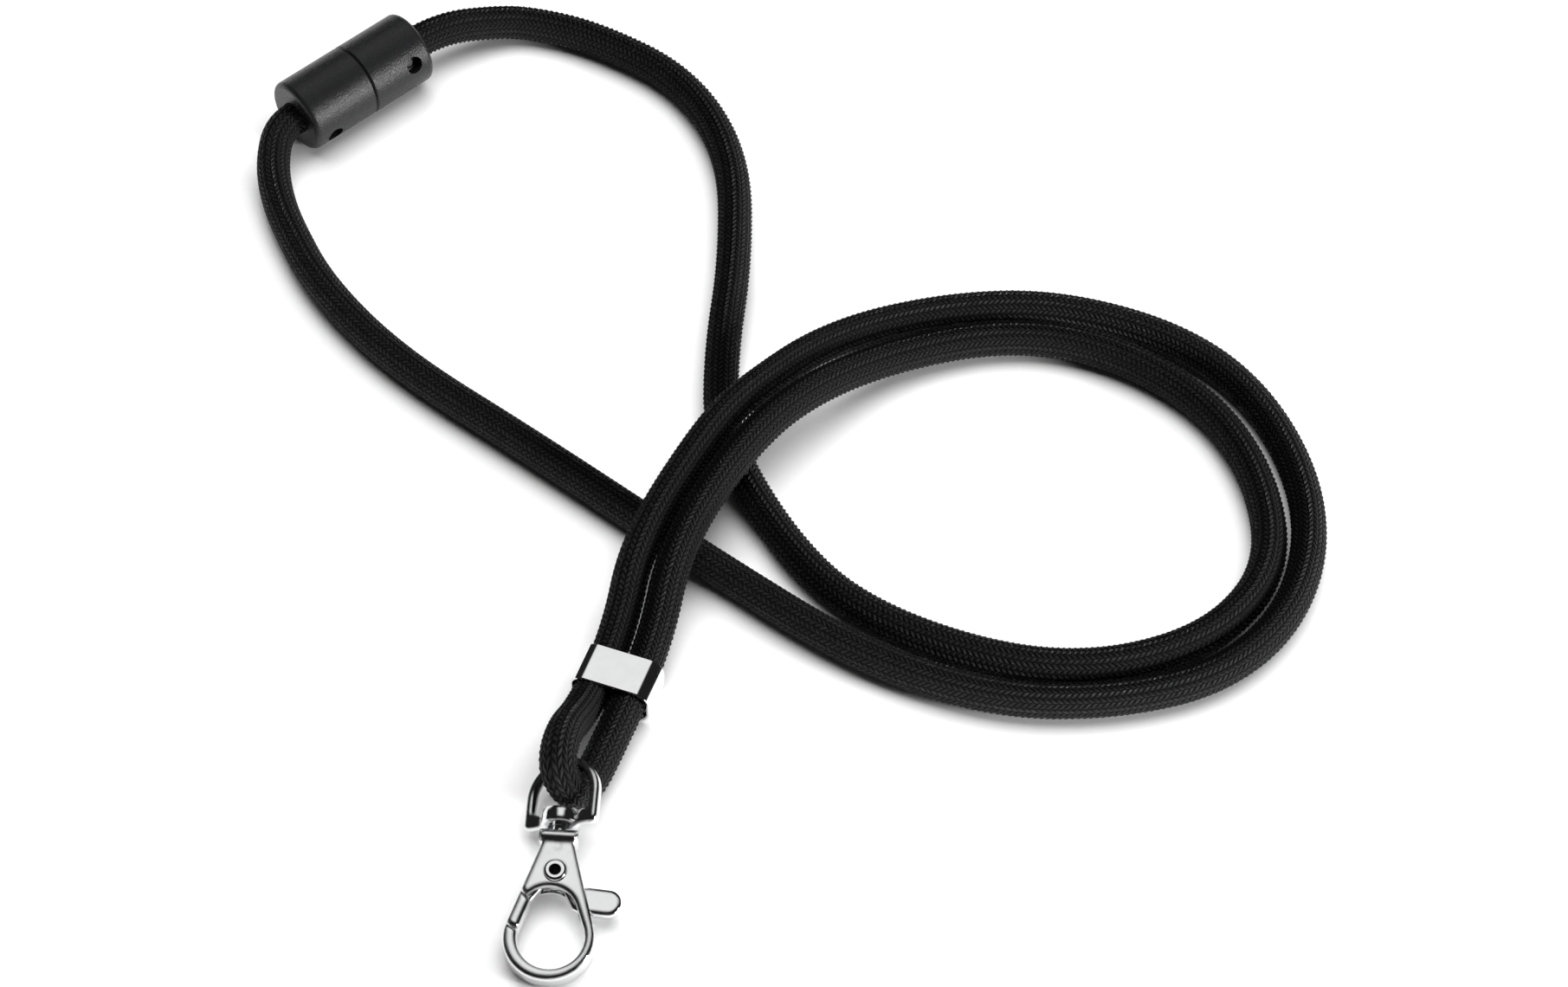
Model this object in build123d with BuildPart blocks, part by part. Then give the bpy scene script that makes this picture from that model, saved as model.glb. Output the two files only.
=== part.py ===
"""Neck lanyard: one length of round braided cord, joined behind the neck by a barrel release that
pulls apart, and doubled through a flat sleeve and the eye of a swivel hook with a sprung gate.

Frame, in millimetres: the lanyard lies on the plane Z = 0, +Z up. X and Y run through the middle of
the box round its rigid pieces. The hook lies at -Y, the barrel release at +Y, and the doubled cord
makes its large loop towards +X.
"""

import os
from math import acos, atan2, cos, hypot, radians, sin, tan

from build123d import *

# ---- Cord ---------------------------------------------------------------------------------------
CORD_D = 5.6            # braided cord, outside the braid
CORD_R = CORD_D / 2
BEND_SHARE = 0.45       # share of the shorter run that a bend takes up

# ---- Barrel release -----------------------------------------------------------------------------
BARREL_D = 12.6         # outside of both halves
PLUG_HALF_L = 12.1      # plug half, from the seam to its end face
SOCKET_HALF_L = 12.6    # socket half
BARREL_X, BARREL_Y = -20.7, 79.0   # middle of the seam
BARREL_TURN = 41.7      # heading of the barrel's axis, from +X towards +Y
END_RIM_R = 0.9         # rounding of the end faces
SEAM_BEVEL = 0.25       # bevel of each half at the seam
SEAM_GAP = 0.12         # gap left between the halves when they are closed
BORE_CLEARANCE = 0.05   # radial, round the cord's cut end
CORD_SEAT = 6.8         # depth of the cord's bore in the plug half
SOCKET_WALL = 0.6       # wall left between the socket's floor and the cord's bore
PIN_D = 1.8             # clamping pin through the cord's end
PIN_INSET = 3.7         # pin axis from the end face
PIN_MOUTH_D = 3.0       # wide mouth of the pin's hole
PIN_MOUTH_DEPTH = 1.7
PIN_WALL = 1.0          # wall left behind the pin's blind end
PLUG_PIN_LIFT = 22.0    # how far the plug half's hole looks up, in degrees
SOCKET_PIN_LIFT = -19.0  # the socket half's hole looks down
PLUG_D = 7.0            # stem of the snap plug
PLUG_L = 5.2            # from the seam face to its tip
PLUG_BEAD_RISE = 0.3    # the snap bead near the tip stands out of the stem
PLUG_BEAD_D = PLUG_D + 2 * PLUG_BEAD_RISE
PLUG_BEAD_L = 1.6
PLUG_WALL = 1.1         # wall of the split stem
PLUG_SLOT = 0.9         # slots that split the stem into four prongs
PLUG_CLEARANCE = 0.15   # radial, between the plug and the socket
SOCKET_TIP_GAP = 0.3    # between the plug's tip and the socket's floor
SNAP_GROOVE = 0.3       # depth of the socket's groove round the bead

# ---- Sleeve over the doubled cord ---------------------------------------------------------------
SLEEVE_W, SLEEVE_H, SLEEVE_L = 12.7, 7.1, 6.6
SLEEVE_WALL = 0.5
SLEEVE_CORNER = 2.4
SLEEVE_X, SLEEVE_Y = 26.35, -40.9
SLEEVE_TURN = 20.0      # heading of its axis, from +Y towards +X

# ---- Swivel hook. Its own frame: w across, s along the swivel axis, n out of the front face ------
PIVOT = (18.3, -74.7, 3.75)     # gate pivot, where w = s = n = 0
HOOK_TURN = 3.8         # heading of s, from +Y towards +X
HOOK_RISE = 7.4         # s climbs from the loop to the eye
EYE_ROLL = 25.0         # the eye is turned about s, right side up

EYE_W = 12.0            # eye, outside
EYE_TOP = 18.65         # s of the arch's outside
EYE_FOOT = 7.6          # s of the lower edge of the bar
EYE_BAR_W = 1.4         # wire width in the eye's plane
EYE_BAR_T = 1.7         # wire thickness
EYE_EDGE = 0.5
EYE_CORNER = 0.8        # corners at the eye's foot
EYE_FOOT_H = 2.2        # height of the lower bar and of the collar
COLLAR_D = 5.8
SWIVEL_CLEARANCE = 0.05

STUD_D = 2.4
STUD_HEAD_D = 3.5
STUD_HEAD_H = 0.5
STUD_SEAT = 3.4         # s of the stud's lower end, pressed into the body
COLLAR_PLAY = 0.08      # axial play of the collar, at each end

BODY_T = 3.2            # thickness of the hook
SHOULDER_S = 4.6        # s where the tapered body meets its head
SHOULDER_HALF = 2.35    # half width there
HEAD_TOP = 6.5          # s of the head's top
HEAD_W = 5.7
BEAD_S = 5.6            # raised bead across the head, front and back
BEAD_D = 1.9
BEAD_PROUD = 0.4
LOOP_S = -10.3          # centre of the round loop
LOOP_R = 6.6            # loop, outside
LOOP_HOLE = (0.25, -10.25, 4.9)    # w, s and radius of the opening's round foot
MOUTH_HOLE = (-0.4, -6.6, 4.15)    # and of its narrower top
BODY_EDGE = 0.42        # rounding of the hook's edges
SLOT_T = 1.75           # slot for the lever
SLOT_TOP, SLOT_FOOT = 2.9, -6.9
GATE_START_R = 5.5      # the gate's ends are arcs round the pivot
GATE_END_R = 10.65

LEVER_T = 1.6
HUB_R = 2.2
POCKET_R = 2.05         # pocket for the spring, round the pivot
GATE_W = 1.9            # gate arm, across
GATE_GAP = 0.2          # gap at each end of the gate arm
GATE_SWING = 20.0       # how far the gate opens
TAB_REACH = 9.9         # w of the thumb tab's end
TAB_W = 3.9
TAB_W0, TAB_S0 = 3.0, -3.9   # start of the tab's middle line, inside the body
TAB_DROOP = 4.0         # the tab points slightly down, in degrees

EYELET_D = 2.4          # barrel of the hollow rivet
EYELET_BORE = 1.6
EYELET_FLANGE_D = 3.4
EYELET_FLANGE_H = 0.5
PIVOT_CLEARANCE = 0.05

SPRING_WIRE = 0.26
SPRING_TURNS = 2
SPRING_PITCH = 0.28
SPRING_R = 1.6          # middle of the wire
SPRING_LEG = 0.9        # short leg, towards the lever

os.makedirs("parts", exist_ok=True)


def bend_radius(before, corner, after):
    """Radius of the arc that takes BEND_SHARE of the shorter of the two runs at a corner."""
    run_in = Vector(*corner) - Vector(*before)
    run_out = Vector(*after) - Vector(*corner)
    half_turn = radians(run_in.get_angle(run_out) / 2)
    return BEND_SHARE * min(run_in.length, run_out.length) / tan(half_turn)


def halfway(a, b):
    """The point midway between two points."""
    return tuple((p + q) / 2 for p, q in zip(a, b))


# ---- Planes of the pieces -----------------------------------------------------------------------
barrel_dir = Vector(cos(radians(BARREL_TURN)), sin(radians(BARREL_TURN)), 0)
barrel_side = Vector(sin(radians(BARREL_TURN)), -cos(radians(BARREL_TURN)), 0)
barrel_seam = Vector(BARREL_X, BARREL_Y, BARREL_D / 2)
# Both halves are turned about Z of their own plane: the plug half's points at +X, the other at -X.
plug_plane = Plane(origin=barrel_seam, x_dir=barrel_side, z_dir=barrel_dir)
socket_plane = Plane(origin=barrel_seam, x_dir=barrel_side, z_dir=-barrel_dir)

sleeve_dir = Vector(sin(radians(SLEEVE_TURN)), cos(radians(SLEEVE_TURN)), 0)
sleeve_across = Vector(cos(radians(SLEEVE_TURN)), -sin(radians(SLEEVE_TURN)), 0)
sleeve_centre = Vector(SLEEVE_X, SLEEVE_Y, SLEEVE_H / 2)
sleeve_plane = Plane(origin=sleeve_centre, x_dir=sleeve_across, z_dir=sleeve_dir)

hook_s = Vector(
    sin(radians(HOOK_TURN)) * cos(radians(HOOK_RISE)),
    cos(radians(HOOK_TURN)) * cos(radians(HOOK_RISE)),
    sin(radians(HOOK_RISE)),
)
hook_w = Vector(cos(radians(HOOK_TURN)), -sin(radians(HOOK_TURN)), 0)
hook_n = hook_w.cross(hook_s)
eye_w = hook_w * cos(radians(EYE_ROLL)) + hook_n * sin(radians(EYE_ROLL))
hook_plane = Plane(origin=PIVOT, x_dir=hook_w, z_dir=hook_n)
eye_plane = Plane(origin=PIVOT, x_dir=eye_w, z_dir=eye_w.cross(hook_s))
swivel_plane = Plane(origin=PIVOT, x_dir=hook_w, z_dir=hook_s)
eye_axis_s = EYE_TOP - EYE_BAR_W / 2
eye_axis_point = Vector(*PIVOT) + hook_s * eye_axis_s

# ---- Route of the cord --------------------------------------------------------------------------
plug_exit = barrel_seam + barrel_dir * PLUG_HALF_L
socket_exit = barrel_seam - barrel_dir * SOCKET_HALF_L

# From the plug half, along the inner strand, through the sleeve, round the eye and back along the
# outer strand to the socket half.
route = [
    tuple(plug_exit),
    tuple(plug_exit + barrel_dir * 6.0),
    (2.7, 95.1, 3.6),
    (8.9, 95.4, CORD_R),
    (19.4, 92.1, CORD_R),
    (34.6, 82.2, CORD_R),
    (43.1, 65.1, CORD_R),
    (43.5, 42.8, CORD_R),
    (41.3, 23.0, CORD_R),
    (41.5, 5.2, CORD_R),
    (52.3, -16.4, CORD_R),
    (64.0, -28.5, CORD_R),
    (84.3, -37.1, CORD_R),
    (101.5, -37.9, CORD_R),
    (117.6, -31.7, CORD_R),
    (126.9, -19.0, CORD_R),
    (126.0, -2.1, CORD_R),
    (118.6, 13.0, CORD_R),
    (104.1, 23.7, CORD_R),
    (87.4, 27.1, CORD_R),
    (68.4, 21.7, 4),
    (53.7, 9.4, 9),
    (43.9, -2.4, 9.2),
    (35.3, -19.7, 9.2),
    (31.79, -34.36, 3.6),
    (26.15, -49.87, 3.55),
    (21.41, -60.88, 2.76),
    (18.13, -61.44, 9.87),
    (18.68, -54.46, 10.37),
    (21.59, -45.56, 3.6),
    (26.40, -31.88, 3.6),
    (28.7, -18.5, 9.2),
    (39.1, 2.3, 9.2),
    (45.2, 10.7, 9),
    (59.0, 25.3, 4.4),
    (78.2, 32.3, CORD_R),
    (96.7, 32.7, CORD_R),
    (116.6, 25.1, CORD_R),
    (128.4, 11.4, CORD_R),
    (133.9, -8.4, CORD_R),
    (129.9, -26.6, CORD_R),
    (118.1, -39.2, CORD_R),
    (101.0, -43.9, CORD_R),
    (82.5, -43.6, CORD_R),
    (62.5, -35.5, CORD_R),
    (39.2, -17.9, CORD_R),
    (11.9, 4.0, CORD_R),
    (-10.3, 20.9, CORD_R),
    (-23.6, 36.3, CORD_R),
    (-30.1, 49.6, CORD_R),
    (-32.6, 56.8, 3),
    (-33.6, 63.1, 4),
    tuple(socket_exit - barrel_dir * 3.3),
    tuple(socket_exit),
]
bends = [bend_radius(*route[i - 1 : i + 2]) for i in range(1, len(route) - 1)]
# The runs at the two exits carry one bend only, so it may take up twice the share.
bends[0] = bend_radius(tuple(plug_exit - barrel_dir * 6.0), route[1], route[2])
bends[-1] = bend_radius(route[-3], route[-2], tuple(socket_exit + barrel_dir * 3.3))
print("bend radii:", [round(r, 1) for r in bends])

# The stretch next to the socket half moves when the release is pulled apart, so it is a solid of
# its own. The two meet face to face in the middle of a straight run.
STRETCH_RUN = 46        # index of the route's point where that run starts
meeting = halfway(route[STRETCH_RUN], route[STRETCH_RUN + 1])

with BuildPart() as cord:
    with BuildLine() as cord_line:
        cord_path = FilletPolyline(*route[: STRETCH_RUN + 1], meeting, radius=bends[:STRETCH_RUN])
    with BuildSketch(Plane(origin=cord_path @ 0, z_dir=cord_path % 0)):
        Circle(CORD_R)
    sweep(path=cord_path)
cord.part.label = "cord"
export_step(cord.part, "parts/cord.step")
section = 3.14159265 * CORD_R**2
print("cord:", round(cord_path.length, 1), "mm, volume ratio", cord.part.volume / section / cord_path.length)

with BuildPart() as cord_by_socket:
    with BuildLine() as stretch_line:
        stretch_path = FilletPolyline(meeting, *route[STRETCH_RUN + 1 :], radius=bends[STRETCH_RUN:])
    with BuildSketch(Plane(origin=stretch_path @ 0, z_dir=stretch_path % 0)):
        Circle(CORD_R)
    sweep(path=stretch_path)
cord_by_socket.part.label = "cord_by_socket"
export_step(cord_by_socket.part, "parts/cord_by_socket.step")
print("stretch:", round(stretch_path.length, 1), "mm, volume ratio",
      cord_by_socket.part.volume / section / stretch_path.length)

# ---- Barrel release: the half with the snap plug ------------------------------------------------
seat_top = PLUG_HALF_L - CORD_SEAT
bore_r = CORD_R + BORE_CLEARANCE
mouth_floor = BARREL_D / 2 - PIN_MOUTH_DEPTH
pin_tail = BARREL_D / 2 - PIN_WALL


def pin_plane(half_plane, half_length, lift):
    """Plane on a pin's axis, its z pointing out of the hole's mouth, lifted from level by lift."""
    outwards = half_plane.x_dir * cos(radians(lift)) + Vector(0, 0, 1) * sin(radians(lift))
    return Plane(origin=half_plane.origin + half_plane.z_dir * (half_length - PIN_INSET),
                 x_dir=half_plane.z_dir, z_dir=outwards)


plug_pin_plane = pin_plane(plug_plane, PLUG_HALF_L, PLUG_PIN_LIFT)
socket_pin_plane = pin_plane(socket_plane, SOCKET_HALF_L, SOCKET_PIN_LIFT)

with BuildPart() as release_plug:
    with BuildSketch(Plane(origin=barrel_seam, x_dir=barrel_side, z_dir=barrel_side.cross(barrel_dir))):
        with BuildLine():
            Polyline(
                (0, PLUG_HALF_L), (BARREL_D / 2, PLUG_HALF_L), (BARREL_D / 2, SEAM_GAP / 2),
                (PLUG_D / 2, SEAM_GAP / 2), (PLUG_D / 2, PLUG_BEAD_L - PLUG_L),
                (PLUG_BEAD_D / 2, PLUG_BEAD_L / 2 - PLUG_L), (PLUG_D / 2, -PLUG_L),
                (PLUG_D / 2 - PLUG_WALL, -PLUG_L), (PLUG_D / 2 - PLUG_WALL, seat_top / 2),
                (0, seat_top / 2), (0, PLUG_HALF_L),
            )
        make_face()
    revolve(axis=Axis(barrel_seam, barrel_dir))
    with BuildSketch(plug_plane.offset(PLUG_HALF_L)):
        Circle(bore_r)
    extrude(amount=-CORD_SEAT, mode=Mode.SUBTRACT)
    with BuildSketch(plug_plane.offset(-PLUG_L)):
        Rectangle(PLUG_BEAD_D + 1, PLUG_SLOT)
        Rectangle(PLUG_SLOT, PLUG_BEAD_D + 1)
    extrude(amount=PLUG_L - SEAM_GAP, mode=Mode.SUBTRACT)
    with BuildSketch(plug_pin_plane.offset(mouth_floor)):
        Circle(PIN_MOUTH_D / 2)
    extrude(amount=2 * PIN_MOUTH_DEPTH, mode=Mode.SUBTRACT)
    with BuildSketch(plug_pin_plane.offset(-pin_tail)):
        Circle(PIN_D / 2)
    extrude(amount=pin_tail + mouth_floor, mode=Mode.SUBTRACT)
    rims = release_plug.edges().filter_by(GeomType.CIRCLE).filter_by(
        lambda e: abs(e.radius - BARREL_D / 2) < 0.01)
    rims = rims.sort_by(lambda e: (e.arc_center - barrel_seam).dot(barrel_dir))
    chamfer(rims[0], SEAM_BEVEL)
    fillet(rims[-1], END_RIM_R)
release_plug.part.label = "release_plug"
export_step(release_plug.part, "parts/release_plug.step")

# ---- Barrel release: the half with the socket ---------------------------------------------------
socket_r = PLUG_D / 2 + PLUG_CLEARANCE
neck_r = PLUG_BEAD_D / 2 + PLUG_CLEARANCE
groove_r = neck_r + SNAP_GROOVE
socket_floor = PLUG_L + SOCKET_TIP_GAP
socket_seat = SOCKET_HALF_L - socket_floor - SOCKET_WALL
with BuildPart() as release_socket:
    with BuildSketch(Plane(origin=barrel_seam, x_dir=barrel_side, z_dir=barrel_dir.cross(barrel_side))):
        with BuildLine():
            Polyline(
                (0, SOCKET_HALF_L), (BARREL_D / 2, SOCKET_HALF_L), (BARREL_D / 2, SEAM_GAP / 2),
                (neck_r, SEAM_GAP / 2), (neck_r, PLUG_L - PLUG_BEAD_L - SNAP_GROOVE),
                (groove_r, PLUG_L - PLUG_BEAD_L / 2), (neck_r, PLUG_L),
                (neck_r, socket_floor), (0, socket_floor), (0, SOCKET_HALF_L),
            )
        make_face()
    revolve(axis=Axis(barrel_seam, barrel_dir))
    with BuildSketch(socket_plane.offset(SOCKET_HALF_L)):
        Circle(bore_r)
    extrude(amount=-socket_seat, mode=Mode.SUBTRACT)
    with BuildSketch(socket_pin_plane.offset(mouth_floor)):
        Circle(PIN_MOUTH_D / 2)
    extrude(amount=2 * PIN_MOUTH_DEPTH, mode=Mode.SUBTRACT)
    with BuildSketch(socket_pin_plane.offset(-pin_tail)):
        Circle(PIN_D / 2)
    extrude(amount=pin_tail + mouth_floor, mode=Mode.SUBTRACT)
    rims = release_socket.edges().filter_by(GeomType.CIRCLE).filter_by(
        lambda e: abs(e.radius - BARREL_D / 2) < 0.01)
    rims = rims.sort_by(lambda e: (barrel_seam - e.arc_center).dot(barrel_dir))
    chamfer(rims[0], SEAM_BEVEL)
    fillet(rims[-1], END_RIM_R)
release_socket.part.label = "release_socket"
export_step(release_socket.part, "parts/release_socket.step")

# ---- Cut ends of the cord, inside the halves, and their pins ------------------------------------
end_seat = {"plug": CORD_SEAT, "socket": socket_seat}
with BuildPart() as plug_cord_end:
    with BuildSketch(plug_plane.offset(PLUG_HALF_L - end_seat["plug"])):
        Circle(CORD_R)
    extrude(amount=end_seat["plug"])
    with BuildSketch(plug_pin_plane.offset(-CORD_D)):
        Circle(PIN_D / 2)
    extrude(amount=2 * CORD_D, mode=Mode.SUBTRACT)
plug_cord_end.part.label = "plug_cord_end"
export_step(plug_cord_end.part, "parts/plug_cord_end.step")

with BuildPart() as socket_cord_end:
    with BuildSketch(socket_plane.offset(SOCKET_HALF_L - end_seat["socket"])):
        Circle(CORD_R)
    extrude(amount=end_seat["socket"])
    with BuildSketch(socket_pin_plane.offset(-CORD_D)):
        Circle(PIN_D / 2)
    extrude(amount=2 * CORD_D, mode=Mode.SUBTRACT)
socket_cord_end.part.label = "socket_cord_end"
export_step(socket_cord_end.part, "parts/socket_cord_end.step")

with BuildPart() as plug_pin:
    with BuildSketch(plug_pin_plane.offset(-pin_tail)):
        Circle(PIN_D / 2)
    extrude(amount=pin_tail + mouth_floor)
    fillet(plug_pin.edges().sort_by(Axis(plug_pin_plane.origin, plug_pin_plane.z_dir))[-1], 0.3)
plug_pin.part.label = "plug_pin"
export_step(plug_pin.part, "parts/plug_pin.step")

with BuildPart() as socket_pin:
    with BuildSketch(socket_pin_plane.offset(-pin_tail)):
        Circle(PIN_D / 2)
    extrude(amount=pin_tail + mouth_floor)
    fillet(socket_pin.edges().sort_by(Axis(socket_pin_plane.origin, socket_pin_plane.z_dir))[-1], 0.3)
socket_pin.part.label = "socket_pin"
export_step(socket_pin.part, "parts/socket_pin.step")

# ---- Sleeve -------------------------------------------------------------------------------------
with BuildPart() as sleeve:
    with BuildSketch(sleeve_plane):
        RectangleRounded(SLEEVE_W, SLEEVE_H, SLEEVE_CORNER)
        RectangleRounded(SLEEVE_W - 2 * SLEEVE_WALL, SLEEVE_H - 2 * SLEEVE_WALL,
                         SLEEVE_CORNER - SLEEVE_WALL, mode=Mode.SUBTRACT)
    extrude(amount=SLEEVE_L / 2, both=True)
    ends = sleeve.faces().filter_by(lambda f: abs(f.normal_at().dot(sleeve_dir)) > 0.99)
    chamfer(ends.edges(), 0.12)
sleeve.part.label = "sleeve"
export_step(sleeve.part, "parts/sleeve.step")

# ---- Swivel eye ---------------------------------------------------------------------------------
arch_s = EYE_TOP - EYE_W / 2
eye_inner = EYE_W / 2 - EYE_BAR_W
foot_top = EYE_FOOT + EYE_FOOT_H
with BuildPart() as swivel_eye:
    with BuildSketch(eye_plane):
        with Locations((0, arch_s)):
            Circle(EYE_W / 2)
        with Locations((0, (arch_s + EYE_FOOT) / 2 + EYE_CORNER)):
            Rectangle(EYE_W, arch_s - EYE_FOOT - 2 * EYE_CORNER)
        with Locations((0, EYE_FOOT + 1.5 * EYE_CORNER)):
            RectangleRounded(EYE_W, 3 * EYE_CORNER, EYE_CORNER)
        with Locations((0, arch_s)):
            Circle(eye_inner, mode=Mode.SUBTRACT)
        with Locations((0, (arch_s + foot_top) / 2 + EYE_CORNER / 2)):
            Rectangle(2 * eye_inner, arch_s - foot_top - EYE_CORNER, mode=Mode.SUBTRACT)
        with Locations((0, foot_top + 1.25 * EYE_CORNER)):
            RectangleRounded(2 * eye_inner, 2.5 * EYE_CORNER, EYE_CORNER, mode=Mode.SUBTRACT)
    extrude(amount=EYE_BAR_T / 2, both=True)
    eye_rims = swivel_eye.faces().filter_by(lambda f: abs(f.normal_at().dot(eye_plane.z_dir)) > 0.99).edges()
    fillet(eye_rims, EYE_EDGE)
    with BuildSketch(swivel_plane.offset(EYE_FOOT)):
        Circle(COLLAR_D / 2)
    extrude(amount=EYE_FOOT_H)
    with BuildSketch(swivel_plane.offset(EYE_FOOT - 1)):
        Circle(STUD_D / 2 + SWIVEL_CLEARANCE)
    extrude(amount=EYE_FOOT_H + 2, mode=Mode.SUBTRACT)
swivel_eye.part.label = "swivel_eye"
export_step(swivel_eye.part, "parts/swivel_eye.step")

# ---- Swivel stud --------------------------------------------------------------------------------
head_s = foot_top + COLLAR_PLAY
with BuildPart() as swivel_stud:
    with BuildSketch(swivel_plane.offset(STUD_SEAT)):
        Circle(STUD_D / 2)
    extrude(amount=head_s - STUD_SEAT)
    with BuildSketch(swivel_plane.offset(head_s)):
        Circle(STUD_HEAD_D / 2)
    extrude(amount=STUD_HEAD_H)
    fillet(swivel_stud.edges().sort_by(Axis(swivel_plane.origin, hook_s))[-1], STUD_HEAD_H * 0.7)
swivel_stud.part.label = "swivel_stud"
export_step(swivel_stud.part, "parts/swivel_stud.step")

# ---- Hook body ----------------------------------------------------------------------------------
corner_angle = atan2(SHOULDER_S - LOOP_S, SHOULDER_HALF)
reach = hypot(SHOULDER_S - LOOP_S, SHOULDER_HALF)
side_angle = corner_angle - acos(LOOP_R / reach)     # the straight sides touch the loop here
touch = (LOOP_R * cos(side_angle), LOOP_S + LOOP_R * sin(side_angle))
with BuildPart() as hook_body:
    with BuildSketch(hook_plane):
        with BuildLine():
            Polyline((-touch[0], touch[1]), (-SHOULDER_HALF, SHOULDER_S), (SHOULDER_HALF, SHOULDER_S), touch)
            ThreePointArc(touch, (0, LOOP_S - LOOP_R), (-touch[0], touch[1]))
        make_face()
    extrude(amount=BODY_T / 2, both=True)
    with BuildSketch(hook_plane):
        with BuildLine():
            CenterArc(LOOP_HOLE[:2], LOOP_HOLE[2], 0, 360)
            CenterArc(MOUTH_HOLE[:2], MOUTH_HOLE[2], 0, 360)
        make_hull()
    extrude(amount=BODY_T / 2, both=True, mode=Mode.SUBTRACT)
    rims = hook_body.faces().filter_by(lambda f: abs(f.normal_at().dot(hook_n)) > 0.99).edges()
    rims = rims.filter_by(lambda e: (e @ 0.5 - Vector(*PIVOT)).dot(hook_s) < SHOULDER_S - 0.1)
    fillet(rims, BODY_EDGE)
    # Head with a bead across both faces.
    with BuildSketch(hook_plane):
        with Locations((0, (SHOULDER_S + HEAD_TOP) / 2)):
            RectangleRounded(HEAD_W, HEAD_TOP - SHOULDER_S, 0.3)
    extrude(amount=BODY_T / 2, both=True)
    with BuildSketch(Plane(origin=PIVOT, x_dir=hook_s, z_dir=hook_w)):
        with Locations((BEAD_S, -BODY_T / 2 - BEAD_PROUD + BEAD_D / 2),
                       (BEAD_S, BODY_T / 2 + BEAD_PROUD - BEAD_D / 2)):
            Circle(BEAD_D / 2)
    extrude(amount=HEAD_W / 2 - 0.15, both=True)
    # Space for the gate, between two arcs round the pivot.
    with BuildSketch(hook_plane):
        with BuildLine():
            Polyline((0, 0), (-14, 0), (-14, -16), (-4.2, -16), (0, 0))
        make_face()
        Circle(GATE_START_R, mode=Mode.SUBTRACT)
        Circle(GATE_END_R, mode=Mode.INTERSECT)
    extrude(amount=BODY_T, both=True, mode=Mode.SUBTRACT)
    # Slot for the lever, open to both sides and into the loop.
    with BuildSketch(hook_plane):
        with Locations((0, (SLOT_TOP + SLOT_FOOT) / 2)):
            Rectangle(20, SLOT_TOP - SLOT_FOOT)
    extrude(amount=SLOT_T / 2, both=True, mode=Mode.SUBTRACT)
    with BuildSketch(hook_plane.offset(-BODY_T)):
        Circle(EYELET_D / 2)
    extrude(amount=2 * BODY_T, mode=Mode.SUBTRACT)
    with BuildSketch(swivel_plane.offset(STUD_SEAT)):
        Circle(STUD_D / 2)
    extrude(amount=HEAD_TOP, mode=Mode.SUBTRACT)
hook_body.part.label = "hook_body"
export_step(hook_body.part, "parts/hook_body.step")

# ---- Gate lever ---------------------------------------------------------------------------------
side_dir = (touch[0] - SHOULDER_HALF, touch[1] - SHOULDER_S)
side_len = hypot(*side_dir)
side_dir = (side_dir[0] / side_len, side_dir[1] / side_len)
arm_top = 7.0           # distances down the body's side that hold the gate arm
arm_foot = 15.0
outer_top = (-SHOULDER_HALF - side_dir[0] * arm_top, SHOULDER_S + side_dir[1] * arm_top)
outer_foot = (-SHOULDER_HALF - side_dir[0] * arm_foot, SHOULDER_S + side_dir[1] * arm_foot)
across = (-side_dir[1] * GATE_W, -side_dir[0] * GATE_W)
inner_top = (outer_top[0] + across[0], outer_top[1] + across[1])
inner_foot = (outer_foot[0] + across[0], outer_foot[1] + across[1])
with BuildPart() as gate_lever:
    # The arm that closes the loop, as thick as the hook.
    with BuildSketch(hook_plane):
        with BuildLine():
            Polyline(outer_top, outer_foot, inner_foot, inner_top, outer_top)
        make_face()
        Circle(GATE_START_R + GATE_GAP, mode=Mode.SUBTRACT)
        Circle(GATE_END_R - GATE_GAP, mode=Mode.INTERSECT)
    extrude(amount=BODY_T / 2, both=True)
    arm_rims = gate_lever.faces().filter_by(lambda f: abs(f.normal_at().dot(hook_n)) > 0.99).edges()
    arm_rims = arm_rims.filter_by(GeomType.LINE)
    fillet(arm_rims, 0.4)
    # The flat lever: hub, web to the arm, web to the tab and the tab.
    with BuildSketch(hook_plane):
        Circle(HUB_R)
        with BuildLine():
            Polyline((-2.19, -0.2), (-4.55, -4.1), (-4.6, -5.2), (-3.5, -5.0), (-1.2, -1.7),
                     (1.0, -1.9), (TAB_W0, -5.4), (TAB_W0 + 1.2, -5.9), (TAB_W0 + 1.2, -2.3), (2.1, -0.6),
                     (-2.19, -0.2))
        make_face()
        with Locations(Location((TAB_W0, TAB_S0, 0), (0, 0, -TAB_DROOP))):
            with Locations(((TAB_REACH - TAB_W0) / 2, 0)):
                RectangleRounded(TAB_REACH - TAB_W0, TAB_W, TAB_W / 2 - 0.1)
    extrude(amount=LEVER_T / 2, both=True)
    with BuildSketch(hook_plane):
        Circle(POCKET_R)
        with Locations((0, 1.5)):
            Rectangle(2 * HUB_R + 1, 3)
    extrude(amount=LEVER_T, mode=Mode.SUBTRACT)
    with BuildSketch(hook_plane.offset(-LEVER_T)):
        Circle(EYELET_D / 2 + PIVOT_CLEARANCE)
    extrude(amount=2 * LEVER_T, mode=Mode.SUBTRACT)
gate_lever.part.label = "gate_lever"
export_step(gate_lever.part, "parts/gate_lever.step")

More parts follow.
